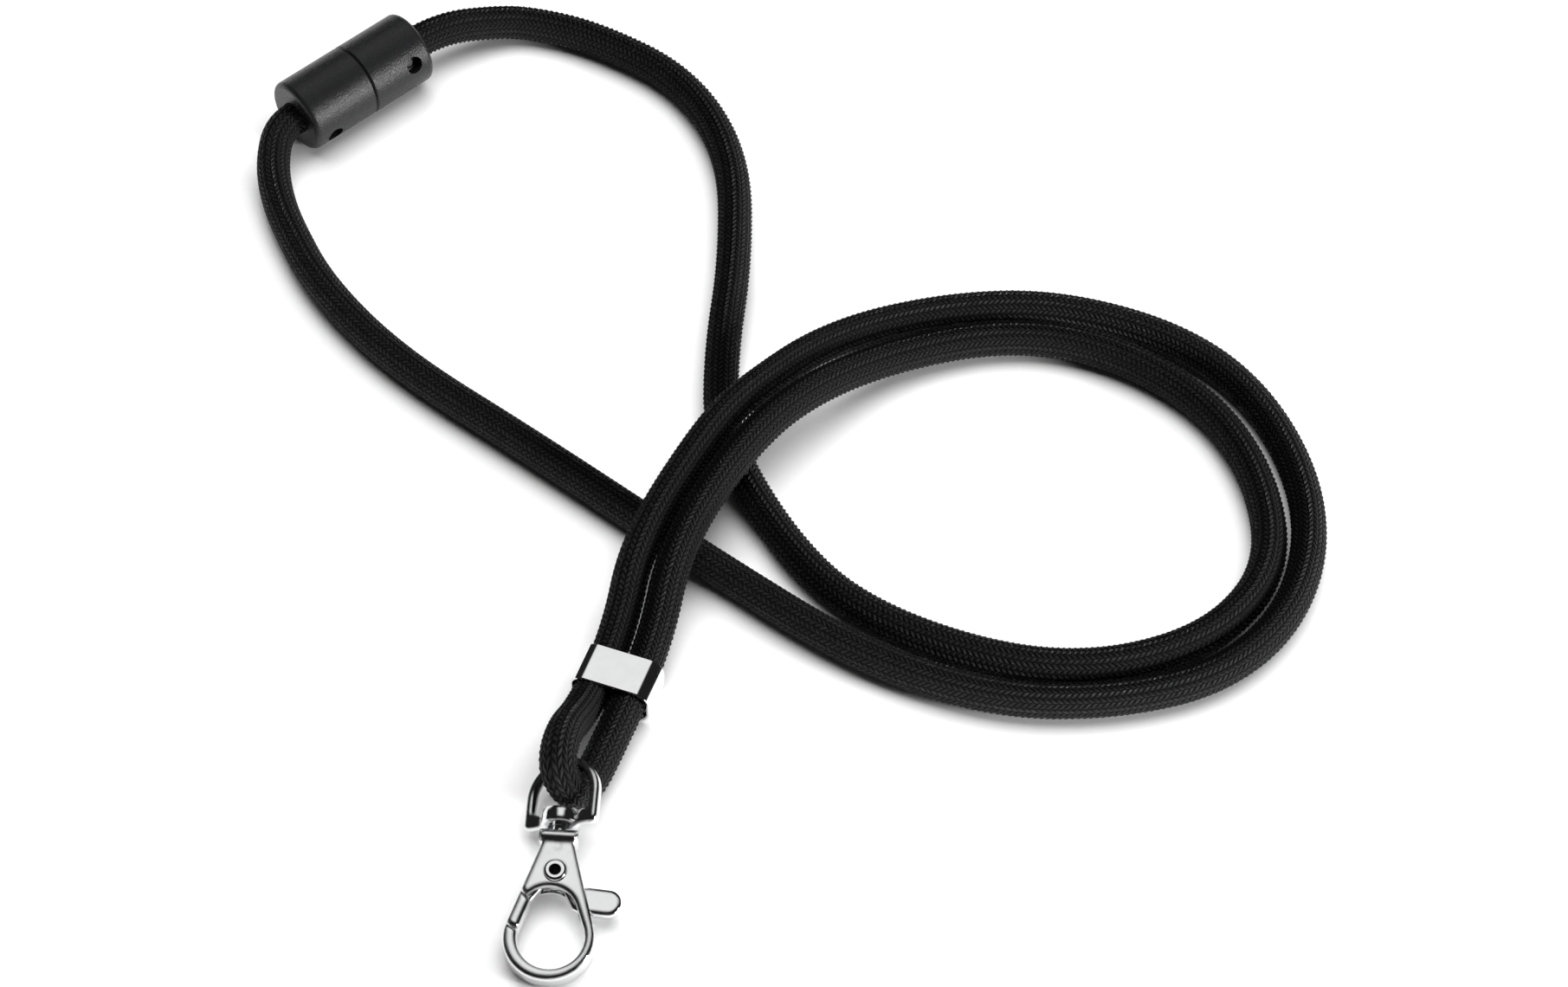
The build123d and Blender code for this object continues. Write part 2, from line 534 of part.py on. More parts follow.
# ---- Gate rivet: a hollow eyelet ----------------------------------------------------------------
with BuildPart() as gate_rivet:
    with BuildSketch(hook_plane.offset(-BODY_T / 2 - EYELET_FLANGE_H)):
        Circle(EYELET_D / 2)
    extrude(amount=BODY_T + 2 * EYELET_FLANGE_H)
    with BuildSketch(hook_plane.offset(BODY_T / 2)):
        Circle(EYELET_FLANGE_D / 2)
    extrude(amount=EYELET_FLANGE_H)
    with BuildSketch(hook_plane.offset(-BODY_T / 2 - EYELET_FLANGE_H)):
        Circle(EYELET_FLANGE_D / 2)
    extrude(amount=EYELET_FLANGE_H)
    flange_rims = gate_rivet.edges().filter_by(GeomType.CIRCLE).filter_by(
        lambda e: abs(e.radius - EYELET_FLANGE_D / 2) < 0.01)
    flange_rims = flange_rims.sort_by(Axis(PIVOT, hook_n))
    fillet([flange_rims[0], flange_rims[-1]], EYELET_FLANGE_H * 0.85)
    with BuildSketch(hook_plane.offset(-BODY_T)):
        Circle(EYELET_BORE / 2)
    extrude(amount=2 * BODY_T, mode=Mode.SUBTRACT)
gate_rivet.part.label = "gate_rivet"
export_step(gate_rivet.part, "parts/gate_rivet.step")

# ---- Gate spring: two coils round the rivet, one leg up against the slot's roof ------------------
coil_start = SPRING_WIRE / 2 + 0.03
coil_end = coil_start + SPRING_TURNS * SPRING_PITCH
coil_plane = hook_plane.offset(coil_start)
leg_start = hook_plane.from_local_coords((SPRING_R, 0, coil_start))
leg_end = hook_plane.from_local_coords((SPRING_R, 0, coil_end))
with BuildPart() as gate_spring:
    with BuildLine():
        coil = Helix(pitch=SPRING_PITCH, height=SPRING_TURNS * SPRING_PITCH, radius=SPRING_R,
                     center=coil_plane.origin, direction=hook_n)
    with BuildSketch(Plane(origin=coil @ 0, z_dir=coil % 0)):
        Circle(SPRING_WIRE / 2)
    sweep(path=coil, is_frenet=True)
    with BuildSketch(Plane(origin=leg_end, x_dir=hook_w, z_dir=hook_s)):
        Circle(SPRING_WIRE / 2)
    extrude(amount=SLOT_TOP)
    with BuildSketch(Plane(origin=leg_start, x_dir=hook_w, z_dir=-hook_s)):
        Circle(SPRING_WIRE / 2)
    extrude(amount=SPRING_LEG)
gate_spring.part.label = "gate_spring"
export_step(gate_spring.part, "parts/gate_spring.step")
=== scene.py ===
# %% [markdown]
# # A neck lanyard in Blender
# A neck lanyard is one length of round braided cord. Behind the neck its two ends go into a barrel
# that pulls apart, so that the lanyard lets go when it is caught on something. In front, the cord is
# doubled through a small metal sleeve and hangs a swivel hook with a sprung gate.
# The rigid parts come ready from CAD and are not reshaped here. What Blender adds is what CAD leaves
# out: the braid of the cord, the grain of the plastic, the polish of the metal, and the light.
# First the imported model is loaded.

# %% Load the rigid parts
import math

import bpy
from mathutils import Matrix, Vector
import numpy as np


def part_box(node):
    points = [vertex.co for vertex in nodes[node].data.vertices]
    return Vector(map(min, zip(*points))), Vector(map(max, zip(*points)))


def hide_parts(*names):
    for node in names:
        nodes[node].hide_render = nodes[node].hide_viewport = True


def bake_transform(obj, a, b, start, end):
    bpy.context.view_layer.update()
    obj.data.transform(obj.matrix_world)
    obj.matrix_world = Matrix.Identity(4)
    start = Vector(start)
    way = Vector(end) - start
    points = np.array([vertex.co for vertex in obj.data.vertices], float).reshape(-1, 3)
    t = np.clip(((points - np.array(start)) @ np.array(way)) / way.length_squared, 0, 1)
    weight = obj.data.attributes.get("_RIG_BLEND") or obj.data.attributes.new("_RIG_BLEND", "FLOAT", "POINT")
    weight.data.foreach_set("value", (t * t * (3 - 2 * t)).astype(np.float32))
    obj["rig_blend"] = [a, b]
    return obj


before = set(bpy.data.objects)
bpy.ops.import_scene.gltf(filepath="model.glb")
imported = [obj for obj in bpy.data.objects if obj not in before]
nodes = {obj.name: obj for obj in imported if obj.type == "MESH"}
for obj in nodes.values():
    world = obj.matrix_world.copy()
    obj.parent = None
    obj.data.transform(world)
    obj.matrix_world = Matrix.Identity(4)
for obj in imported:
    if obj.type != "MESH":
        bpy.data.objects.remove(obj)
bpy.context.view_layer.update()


# %% [markdown]
# ## The camera
# The lanyard lies on a table and is seen from in front of the hook, from about 53 degrees above the
# table, through a long lens, which keeps the far end nearly as large as the near one. A short lens
# close by would frame the same cord, but would swell the hook. The camera is aimed with a direction
# vector turned into a rotation, which is steadier than typing angles.

# %% Camera
CAMERA_PLACE = Vector((0.0514, -0.36805, 0.48988))
CAMERA_AIM = Vector((0.0514, -0.0029, 0.0))
LENS_MM = 89.46
SENSOR_MM = 36.0
NEAREST_SEEN = 0.01

camera = bpy.data.objects.new("camera", bpy.data.cameras.new("camera"))
camera.data.lens = LENS_MM
camera.data.sensor_width = SENSOR_MM
camera.data.clip_start = NEAREST_SEEN
camera.location = CAMERA_PLACE
camera.rotation_euler = (CAMERA_AIM - CAMERA_PLACE).to_track_quat("-Z", "Y").to_euler()
bpy.context.scene.collection.objects.link(camera)
bpy.context.scene.camera = camera
print("camera is", round((CAMERA_AIM - CAMERA_PLACE).length, 3), "m from the middle of the lanyard")

# %% [markdown]
# ## The route of the cord
# A cord has no shape of its own. It goes where it is led, and lies in easy bends. So its middle line
# is drawn first, as one smooth NURBS spline of order 3 with a few listed control points. A Bezier
# would also do, but its handles are easy to leave with a kink. The route starts at the
# plug half of the barrel, makes the large loop, climbs over the crossing as the inner strand, runs
# through the sleeve and down to the hook's eye, turns there, and comes back beside itself to the
# socket half. Order and end points are set after the points exist, since a spline with too few points
# ignores them.

# %% Route of the cord
CORD_WIDTH = 0.0056
POINTS_PER_RUN = 14
ROUTE = [
    (-0.011666, 0.087049, 0.0063), (-0.007186, 0.091041, 0.0063), (0.0027, 0.0951, 0.0036),
    (0.0089, 0.0954, 0.0028), (0.0194, 0.0921, 0.0028), (0.0346, 0.0822, 0.0028),
    (0.0431, 0.0651, 0.0028), (0.0435, 0.0428, 0.0028), (0.0413, 0.023, 0.0028),
    (0.0415, 0.0052, 0.0028), (0.0523, -0.0164, 0.0028), (0.064, -0.0285, 0.0028),
    (0.0843, -0.0371, 0.0028), (0.1015, -0.0379, 0.0028), (0.1176, -0.0317, 0.0028),
    (0.1269, -0.019, 0.0028), (0.126, -0.0021, 0.0028), (0.1186, 0.013, 0.0028),
    (0.1041, 0.0237, 0.0028), (0.0874, 0.0271, 0.0028), (0.0684, 0.0217, 0.004),
    (0.0534, 0.0097, 0.009), (0.0436, -0.0023, 0.0092), (0.0349, -0.0196, 0.0092),
    (0.03179, -0.03436, 0.0036), (0.02615, -0.04987, 0.00355), (0.02141, -0.06088, 0.00206),
    (0.01813, -0.06144, 0.00987), (0.01868, -0.05446, 0.01037), (0.02159, -0.04556, 0.0036),
    (0.0264, -0.03188, 0.0036), (0.0291, -0.0187, 0.0092), (0.0394, 0.0020, 0.0092),
    (0.0456, 0.0103, 0.009), (0.059, 0.0253, 0.0044), (0.0782, 0.0323, 0.0028),
    (0.0967, 0.0327, 0.0028), (0.1166, 0.0251, 0.0028), (0.1284, 0.0114, 0.0028),
    (0.1339, -0.0084, 0.0028), (0.1299, -0.0266, 0.0028), (0.1181, -0.0392, 0.0028),
    (0.101, -0.0439, 0.0028), (0.0825, -0.0436, 0.0028), (0.0625, -0.0355, 0.0028),
    (0.0392, -0.0179, 0.0028), (0.0119, 0.004, 0.0028), (-0.0103, 0.0209, 0.0028),
    (-0.0236, 0.0363, 0.0028), (-0.0301, 0.0496, 0.0028), (-0.0326, 0.0568, 0.003),
    (-0.0336, 0.0631, 0.004), (-0.032572, 0.068423, 0.0063), (-0.030108, 0.070618, 0.0063),
]

route = bpy.data.curves.new("cord_route", "CURVE")
route.dimensions = "3D"
route.resolution_u = POINTS_PER_RUN
spline = route.splines.new("NURBS")
spline.points.add(len(ROUTE) - 1)
for point, place in zip(spline.points, ROUTE):
    point.co = (*place, 1.0)
spline.order_u = 3
spline.use_endpoint_u = True
route_object = bpy.data.objects.new("cord_route", route)
bpy.context.scene.collection.objects.link(route_object)
bpy.context.view_layer.update()

line = bpy.data.meshes.new_from_object(route_object)
cord_path = [tuple(v.co) for v in line.vertices]
cord_length = sum(math.dist(a, b) for a, b in zip(cord_path, cord_path[1:]))
print("route has", len(ROUTE), "control points and is", round(cord_length, 4), "m long")

# %% [markdown]
# ## The braid
# The real cord is a tube plaited from twenty yarns round a soft core. Each yarn passes over two others
# and under two, so the surface shows lengthwise columns of short slanted stitches, and the slant
# changes from one column to the next, like a herringbone. Plaiting twenty separate tubes would take
# millions of triangles. Here Geometry Nodes sweep one circle along the route, with two points to a
# column and two rings to a stitch, and push those points in and out. That gives the edge of the cord
# its fine bumps, and the yarns themselves are left to the shader. Two attributes are kept for it: how
# far along the cord a point is, and which way it faces, as a cosine and a sine, because an angle would
# jump where the circle closes.

# %% Helpers for node trees
def add(tree, kind, **settings):
    """One node, with its settings; a key such as in_0 sets the value of an input."""
    node = tree.nodes.new(kind)
    for key, value in settings.items():
        if key.startswith("in_"):
            name = key.removeprefix("in_")
            socket = int(name) if name.isdigit() else name.replace("_", " ")
            node.inputs[socket].default_value = value
        else:
            setattr(node, key, value)
    return node


def sums(tree, operation, *terms):
    """A Math node; each term is a number or the output of another node."""
    node = add(tree, "ShaderNodeMath", operation=operation)
    for socket, term in zip(node.inputs, terms):
        if isinstance(term, (int, float)):
            socket.default_value = term
        else:
            tree.links.new(term, socket)
    return node.outputs[0]


def socket_named(tree, name):
    """The identifier of a named input of a node group."""
    sockets = tree.interface.items_tree
    return next(i.identifier for i in sockets if i.name == name and i.in_out == "INPUT")


# %% Geometry Nodes for the braided tube
COLUMNS = 20
STITCH = 0.0009
RELIEF = 0.00028
SWELL = 0.5  # how much of the relief the stitches take
GROOVE = 0.3  # how much of it the grooves between columns take
SINK = 0.3  # how far the whole surface is drawn in

braid_tree = bpy.data.node_groups.new("round_braid", "GeometryNodeTree")
tree_sockets = braid_tree.interface
tree_sockets.new_socket("Line", in_out="INPUT", socket_type="NodeSocketGeometry")
for name, kind, value in (
    ("Width", "NodeSocketFloat", CORD_WIDTH),
    ("Columns", "NodeSocketInt", COLUMNS),
    ("Stitch", "NodeSocketFloat", STITCH),
    ("Relief", "NodeSocketFloat", RELIEF),
):
    tree_sockets.new_socket(name, in_out="INPUT", socket_type=kind).default_value = value
tree_sockets.new_socket("Material", in_out="INPUT", socket_type="NodeSocketMaterial")
tree_sockets.new_socket("Braid", in_out="OUTPUT", socket_type="NodeSocketGeometry")

t, link = braid_tree, braid_tree.links.new
group_in = add(t, "NodeGroupInput")
group_out = add(t, "NodeGroupOutput")
to_curve = add(t, "GeometryNodeMeshToCurve")
link(group_in.outputs["Line"], to_curve.inputs["Mesh"])
rings = add(t, "GeometryNodeResampleCurve", mode="LENGTH")
link(to_curve.outputs["Curve"], rings.inputs["Curve"])
link(sums(t, "DIVIDE", group_in.outputs["Stitch"], 2.0), rings.inputs["Length"])
keep_along = add(t, "GeometryNodeCaptureAttribute", domain="POINT")
keep_along.capture_items.new("FLOAT", "along")
link(rings.outputs["Curve"], keep_along.inputs["Geometry"])
link(add(t, "GeometryNodeSplineParameter").outputs["Length"], keep_along.inputs["along"])

sides = sums(t, "MULTIPLY", group_in.outputs["Columns"], 2.0)
circle = add(t, "GeometryNodeCurvePrimitiveCircle", mode="RADIUS")
link(sides, circle.inputs["Resolution"])
link(sums(t, "DIVIDE", group_in.outputs["Width"], 2.0), circle.inputs["Radius"])
index = add(t, "GeometryNodeInputIndex").outputs[0]
turn = sums(t, "DIVIDE", sums(t, "MULTIPLY", index, math.tau), sides)
facing = add(t, "ShaderNodeCombineXYZ")
link(sums(t, "COSINE", turn), facing.inputs["X"])
link(sums(t, "SINE", turn), facing.inputs["Y"])
keep_around = add(t, "GeometryNodeCaptureAttribute", domain="POINT")
keep_around.capture_items.new("VECTOR", "around")
link(circle.outputs["Curve"], keep_around.inputs["Geometry"])
link(facing.outputs[0], keep_around.inputs["around"])

sweep = add(t, "GeometryNodeCurveToMesh", in_Fill_Caps=True)
link(keep_along.outputs["Geometry"], sweep.inputs["Curve"])
link(keep_around.outputs["Geometry"], sweep.inputs["Profile Curve"])
along, around = keep_along.outputs["along"], keep_around.outputs["around"]
cos_sin = add(t, "ShaderNodeSeparateXYZ")
link(around, cos_sin.inputs[0])
angle = sums(t, "ARCTAN2", cos_sin.outputs["Y"], cos_sin.outputs["X"])
half_columns = sums(t, "DIVIDE", group_in.outputs["Columns"], 2.0)
across = sums(t, "SINE", sums(t, "MULTIPLY", angle, half_columns))
stitches = sums(t, "DIVIDE", along, group_in.outputs["Stitch"])
beat = sums(t, "COSINE", sums(t, "MULTIPLY", stitches, math.tau))
groove = sums(t, "MULTIPLY", sums(t, "SUBTRACT", 1.0, sums(t, "ABSOLUTE", across)), GROOVE)
swell = sums(t, "MULTIPLY", sums(t, "MULTIPLY", across, beat), SWELL)
height = sums(t, "SUBTRACT", swell, groove)
push = sums(t, "MULTIPLY", sums(t, "SUBTRACT", height, SINK), group_in.outputs["Relief"])
shift = add(t, "ShaderNodeVectorMath", operation="SCALE")
link(add(t, "GeometryNodeInputNormal").outputs[0], shift.inputs[0])
link(push, shift.inputs["Scale"])
bumps = add(t, "GeometryNodeSetPosition")
link(sweep.outputs["Mesh"], bumps.inputs["Geometry"])
link(shift.outputs[0], bumps.inputs["Offset"])
last = bumps.outputs["Geometry"]
for name, kind, field in (("along", "FLOAT", along), ("around", "FLOAT_VECTOR", around)):
    store = add(
        t, "GeometryNodeStoreNamedAttribute", data_type=kind, domain="POINT", in_Name=name
    )
    link(last, store.inputs["Geometry"])
    link(field, store.inputs["Value"])
    last = store.outputs["Geometry"]
smooth = add(t, "GeometryNodeSetShadeSmooth")
link(last, smooth.inputs["Geometry"])
real = add(t, "GeometryNodeRealizeInstances")
link(smooth.outputs["Geometry"], real.inputs["Geometry"])
paint = add(t, "GeometryNodeSetMaterial")
link(real.outputs["Geometry"], paint.inputs["Geometry"])
link(group_in.outputs["Material"], paint.inputs["Material"])
link(paint.outputs["Geometry"], group_out.inputs["Braid"])
print("braid tree has", len(braid_tree.nodes), "nodes")

# %% [markdown]
# ## Shader groups
# Three effects are needed by more than one finish, so each is a node group with its own values in
# every material. The first is the fine grain that a spark-eroded mould leaves on plastic. The second
# is the faint wear of handled metal: hairline scratches and cloudy finger marks. The third lays fine
# dust and lint on things that lie about. A group gives out only numbers, and the shader that uses
# them stays in the material.

# %% Start of a material and of a group
def new_group(name, inputs, outputs):
    tree = bpy.data.node_groups.new(name, "ShaderNodeTree")
    for label, value in inputs:
        socket = tree.interface.new_socket(label, in_out="INPUT", socket_type="NodeSocketFloat")
        socket.default_value = value
    for label in outputs:
        tree.interface.new_socket(label, in_out="OUTPUT", socket_type="NodeSocketFloat")
    return tree, add(tree, "NodeGroupInput"), add(tree, "NodeGroupOutput")


def noise(tree, scale, detail=2.0, rough=0.5, stretch=(1, 1, 1)):
    """Noise on the object's own coordinates, in metres; scale is a number or an output."""
    where = add(tree, "ShaderNodeTexCoord").outputs["Object"]
    if stretch != (1, 1, 1):
        mapping = add(tree, "ShaderNodeMapping", in_Scale=stretch)
        tree.links.new(where, mapping.inputs["Vector"])
        where = mapping.outputs["Vector"]
    node = add(tree, "ShaderNodeTexNoise", in_Detail=detail, in_Roughness=rough)
    tree.links.new(where, node.inputs["Vector"])
    if isinstance(scale, (int, float)):
        node.inputs["Scale"].default_value = scale
    else:
        tree.links.new(scale, node.inputs["Scale"])
    return node.outputs["Fac"]


def ramp(tree, value, low, high, to_low=0.0, to_high=1.0):
    """value from low..high to to_low..to_high, clamped."""
    node = add(tree, "ShaderNodeMapRange", in_1=low, in_2=high, in_3=to_low, in_4=to_high)
    tree.links.new(value, node.inputs[0])
    return node.outputs[0]


# %% Mould grain
FINE_SHARE = 0.75
BROAD_SCALE = 0.24  # of the fine grain's

grain_group, gi, go = new_group(
    "mould_grain", [("Scale", 4200.0), ("Depth", 1.0)], ["Height", "Speck"]
)
fine = noise(grain_group, gi.outputs["Scale"], 3.0, 0.65)
broad = noise(grain_group, sums(grain_group, "MULTIPLY", gi.outputs["Scale"], BROAD_SCALE), 2.0)
fine_part = sums(grain_group, "MULTIPLY", fine, FINE_SHARE)
broad_part = sums(grain_group, "MULTIPLY", broad, 1.0 - FINE_SHARE)
mixed = sums(grain_group, "ADD", fine_part, broad_part)
grain = sums(grain_group, "MULTIPLY", mixed, gi.outputs["Depth"])
grain_group.links.new(grain, go.inputs["Height"])
grain_group.links.new(ramp(grain_group, fine, 0.42, 0.66), go.inputs["Speck"])
print("group", grain_group.name)

# %% Wear of handled metal
SCRATCH_SCALE = 900.0
CLOUD_SCALE = 260.0

wear_group, wi, wo = new_group(
    "handled_metal", [("Scratches", 1.0), ("Clouds", 1.0)], ["Height", "Cloud"]
)
one_way = noise(wear_group, SCRATCH_SCALE, 2.0, 0.6, (1.0, 14.0, 1.0))
other_way = noise(wear_group, SCRATCH_SCALE, 2.0, 0.6, (12.0, 1.0, 2.0))
first_lines = ramp(wear_group, one_way, 0.60, 0.72)
second_lines = ramp(wear_group, other_way, 0.62, 0.74)
lines = sums(wear_group, "ADD", first_lines, second_lines)
wear_group.links.new(sums(wear_group, "MULTIPLY", lines, wi.outputs["Scratches"]), wo.inputs["Height"])
cloud = ramp(wear_group, noise(wear_group, CLOUD_SCALE, 4.0, 0.6), 0.35, 0.75)
wear_group.links.new(sums(wear_group, "MULTIPLY", cloud, wi.outputs["Clouds"]), wo.inputs["Cloud"])
print("group", wear_group.name)

# %% Lint
lint_group, li, lo = new_group("lint", [("Amount", 1.0)], ["Mask"])
LINT_SCALE = 2400.0
spots = ramp(lint_group, noise(lint_group, LINT_SCALE, 1.0, 0.4), 0.70, 0.78)
lint_group.links.new(sums(lint_group, "MULTIPLY", spots, li.outputs["Amount"]), lo.inputs["Mask"])
print("group", lint_group.name)

# %% [markdown]
# ## Finishes
# Each finish is one Principled shader whose constants are typed on its own sockets, and whose colour,
# roughness and bump come from the patterns.

# %% Helpers for finishes
def new_finish(name, **values):
    finish = bpy.data.materials.new(name)
    finish.use_nodes = True
    shader = finish.node_tree.nodes["Principled BSDF"]
    for key, value in values.items():
        shader.inputs[key.replace("_", " ")].default_value = value
    return finish, finish.node_tree, shader


def place_group(tree, group, **values):
    node = add(tree, "ShaderNodeGroup", node_tree=group)
    for key, value in values.items():
        node.inputs[key].default_value = value
    return node


def two_colours(tree, mask, dark, light):
    node = add(tree, "ShaderNodeMix", data_type="RGBA")
    tree.links.new(mask, node.inputs["Factor"])
    node.inputs[6].default_value = (*dark, 1.0)
    node.inputs[7].default_value = (*light, 1.0)
    return node.outputs[2]


def bump(tree, height, distance, strength=1.0):
    node = add(tree, "ShaderNodeBump", in_Distance=distance, in_Strength=strength)
    tree.links.new(height, node.inputs["Height"])
    return node.outputs["Normal"]


# %% [markdown]
# The braid's shader works out, from the two attributes, which column and which stitch a point lies
# in. A stitch is a slanted rounded bar, so its height is high in the middle and falls away to its
# rim, and the slant's sign follows the column. Fine lines along each stitch are the filaments of the
# yarn. The yarn is dull black polyester. Its colour follows the stitch height: nearly black in the
# gaps, which is painted shade, and dark grey on the crowns, which is partly painted highlight, with a
# faint shine where the filaments lie flat.

# %% Braided black polyester
STITCH_SLANT = 0.95  # how far a stitch leans across its column, in stitches
COLUMN_EDGE = 4.5  # the higher, the steeper a column falls off at its sides
STITCH_EDGE = 1.7
FILAMENT_WAVES = (44.0, 5.0)  # along the stitch and across it
FILAMENT_SHARE = 0.06
LOWEST_STITCH = 0.6
BRAID_BUMP = 0.0014
# Painted shade and highlight: the gaps get a near-black colour, and the crowns a grey that is partly painted
# highlight.
SHADED_GAP_BLACK = (0.0002, 0.0002, 0.0003)
CROWN_GREY_AND_HIGHLIGHT = (0.017, 0.017, 0.0185)


def crown(tree, value, power):
    """1 in the middle of -0.5..0.5, 0 at its ends."""
    spread = sums(tree, "ABSOLUTE", sums(tree, "MULTIPLY", value, 2.0))
    return sums(tree, "SUBTRACT", 1.0, sums(tree, "POWER", spread, power))


braid, bt, shader = new_finish("braided_polyester", Specular_IOR_Level=0.5)
along_in = add(bt, "ShaderNodeAttribute", attribute_name="along").outputs["Fac"]
around_in = add(bt, "ShaderNodeAttribute", attribute_name="around").outputs["Vector"]
cos_sin = add(bt, "ShaderNodeSeparateXYZ")
bt.links.new(around_in, cos_sin.inputs[0])
bearing = sums(bt, "ARCTAN2", cos_sin.outputs["Y"], cos_sin.outputs["X"])
column = sums(bt, "MULTIPLY", bearing, COLUMNS / math.tau)
column_number = sums(bt, "FLOOR", column)
x = sums(bt, "SUBTRACT", sums(bt, "SUBTRACT", column, column_number), 0.5)
odd = sums(bt, "FLOORED_MODULO", column_number, 2.0)
side = sums(bt, "SUBTRACT", 1.0, sums(bt, "MULTIPLY", odd, 2.0))
step = sums(bt, "ADD", sums(bt, "DIVIDE", along_in, STITCH), sums(bt, "MULTIPLY", odd, 0.5))
lean = sums(bt, "MULTIPLY", sums(bt, "MULTIPLY", x, side), STITCH_SLANT)
tilted = sums(bt, "ADD", sums(bt, "ADD", step, 0.5), lean)
stitch_number = sums(bt, "FLOOR", tilted)
y = sums(bt, "SUBTRACT", sums(bt, "SUBTRACT", tilted, stitch_number), 0.5)

stitch = sums(bt, "MULTIPLY", crown(bt, x, COLUMN_EDGE), crown(bt, y, STITCH_EDGE))
waves_along, waves_across = (
    sums(bt, "MULTIPLY", place, waves) for place, waves in zip((y, x), FILAMENT_WAVES)
)
filaments = sums(bt, "SINE", sums(bt, "ADD", waves_along, waves_across))
seed = add(bt, "ShaderNodeCombineXYZ")
bt.links.new(column_number, seed.inputs["X"])
bt.links.new(stitch_number, seed.inputs["Y"])
chance = add(bt, "ShaderNodeTexWhiteNoise", noise_dimensions="2D")
bt.links.new(seed.outputs[0], chance.inputs["Vector"])
spread = sums(bt, "MULTIPLY", chance.outputs["Value"], 1.0 - LOWEST_STITCH)
body = sums(bt, "MULTIPLY", stitch, sums(bt, "ADD", LOWEST_STITCH, spread))
threads = sums(bt, "MULTIPLY", sums(bt, "MULTIPLY", filaments, stitch), FILAMENT_SHARE)
bt.links.new(bump(bt, sums(bt, "ADD", body, threads), BRAID_BUMP), shader.inputs["Normal"])
fuzz = place_group(bt, lint_group, Amount=0.35)
# Painted shade and highlight by stitch height: the base colour goes from near black in the gaps to grey on
# the crowns, with a random tone per stitch and lighter lint spots.
stitch_shade_and_lint = sums(bt, "ADD", sums(bt, "MULTIPLY", body, 0.8), fuzz.outputs["Mask"])
bt.links.new(two_colours(bt, stitch_shade_and_lint, SHADED_GAP_BLACK, CROWN_GREY_AND_HIGHLIGHT), shader.inputs["Base Color"])
bt.links.new(ramp(bt, body, 0.25, 0.9, 1.0, 0.36), shader.inputs["Roughness"])
print("finish", braid.name)

# %% [markdown]
# The barrel is moulded in black plastic with a fine grain, so it looks satin: the grain breaks a
# highlight into a soft, sparkling band. The clamping pins are the same plastic with a shallower grain.

# %% Satin black plastic
GRAIN_BUMP = 0.00011
SPECK_POLISH = 0.12  # how much smoother the specks are
PLASTIC_DARKER = 0.75


def satin_plastic(name, colour, rough, depth):
    finish, tree, shader = new_finish(name, Specular_IOR_Level=0.34)
    grain = place_group(tree, grain_group, Scale=3600.0, Depth=depth)
    tree.links.new(bump(tree, grain.outputs["Height"], GRAIN_BUMP), shader.inputs["Normal"])
    gloss = ramp(tree, grain.outputs["Speck"], 0.0, 1.0, rough, rough - SPECK_POLISH)
    tree.links.new(gloss, shader.inputs["Roughness"])
    dust = place_group(tree, lint_group, Amount=0.15)
    darker = tuple(c * PLASTIC_DARKER for c in colour)
    specks = sums(tree, "MULTIPLY", grain.outputs["Speck"], 0.8)
    mask = sums(tree, "ADD", specks, dust.outputs["Mask"])
    tree.links.new(two_colours(tree, mask, darker, colour), shader.inputs["Base Color"])
    print("finish", name)
    return finish


barrel_plastic = satin_plastic("satin_black_plastic", (0.012, 0.0125, 0.013), 0.34, 1.0)
pin_plastic = satin_plastic("smooth_black_plastic", (0.008, 0.008, 0.0085), 0.36, 0.4)

# %% [markdown]
# The sleeve, the eye and the hook are zinc or brass with bright chrome on top. Chrome has almost no
# colour of its own and shows what stands round it, so most of its look is made by the light. The
# finish adds only what is on the metal: hairlines, a touch of haze, and slightly softer polish in the
# clouds. The cast pieces have soft edges, so their shading rounds the edges a little more.
# The spring is plain steel wire, which is greyer and duller.

# %% Bright metal
CHROME = (0.88, 0.885, 0.89)
STEEL = (0.50, 0.50, 0.49)
HAIRLINE_DEPTH = 0.000004
HAIRLINE_STRENGTH = 0.35
CLOUD_DIMMING = 0.93
BEVEL_SAMPLES = 8
CAST_ROUNDING = 0.0011


def bright_metal(name, colour, rough, scratches, haze, rounding=0.0):
    finish, tree, shader = new_finish(name, Metallic=1.0)
    wear = place_group(tree, wear_group, Scratches=scratches, Clouds=1.0)
    hairlines = add(
        tree, "ShaderNodeBump", in_Distance=HAIRLINE_DEPTH, in_Strength=HAIRLINE_STRENGTH
    )
    tree.links.new(wear.outputs["Height"], hairlines.inputs["Height"])
    if rounding:
        edges = add(tree, "ShaderNodeBevel", samples=BEVEL_SAMPLES, in_Radius=rounding)
        tree.links.new(edges.outputs["Normal"], hairlines.inputs["Normal"])
    tree.links.new(hairlines.outputs["Normal"], shader.inputs["Normal"])
    cloud = wear.outputs["Cloud"]
    tree.links.new(ramp(tree, cloud, 0.0, 1.0, rough, rough + haze), shader.inputs["Roughness"])
    dim = tuple(c * CLOUD_DIMMING for c in colour)
    tree.links.new(two_colours(tree, cloud, colour, dim), shader.inputs["Base Color"])
    print("finish", name)
    return finish


chrome = bright_metal("bright_chrome", CHROME, 0.04, 0.5, 0.03)
cast_chrome = bright_metal("cast_chrome", CHROME, 0.05, 0.5, 0.03, CAST_ROUNDING)
wire_steel = bright_metal("drawn_steel_wire", STEEL, 0.28, 1.0, 0.10)

# %% [markdown]
# The rivet is a small tube that was flared at both ends. Its rim is bright chrome, and its bore is
# coloured nearly black and rough. The two are told apart by the distance from the
# rivet's axis: the cross product of a point's place with the axis has that length.

# %% Rivet with a dark bore
RIVET_MIDDLE = sum((Vector(corner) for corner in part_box("gate_rivet")), Vector()) / 2
RIVET_AXIS = Vector((-0.008536, -0.128512, 0.991671))
BORE_EDGE, RIM_EDGE = 0.00086, 0.00094
BORE_BLACK = (0.004, 0.004, 0.004)

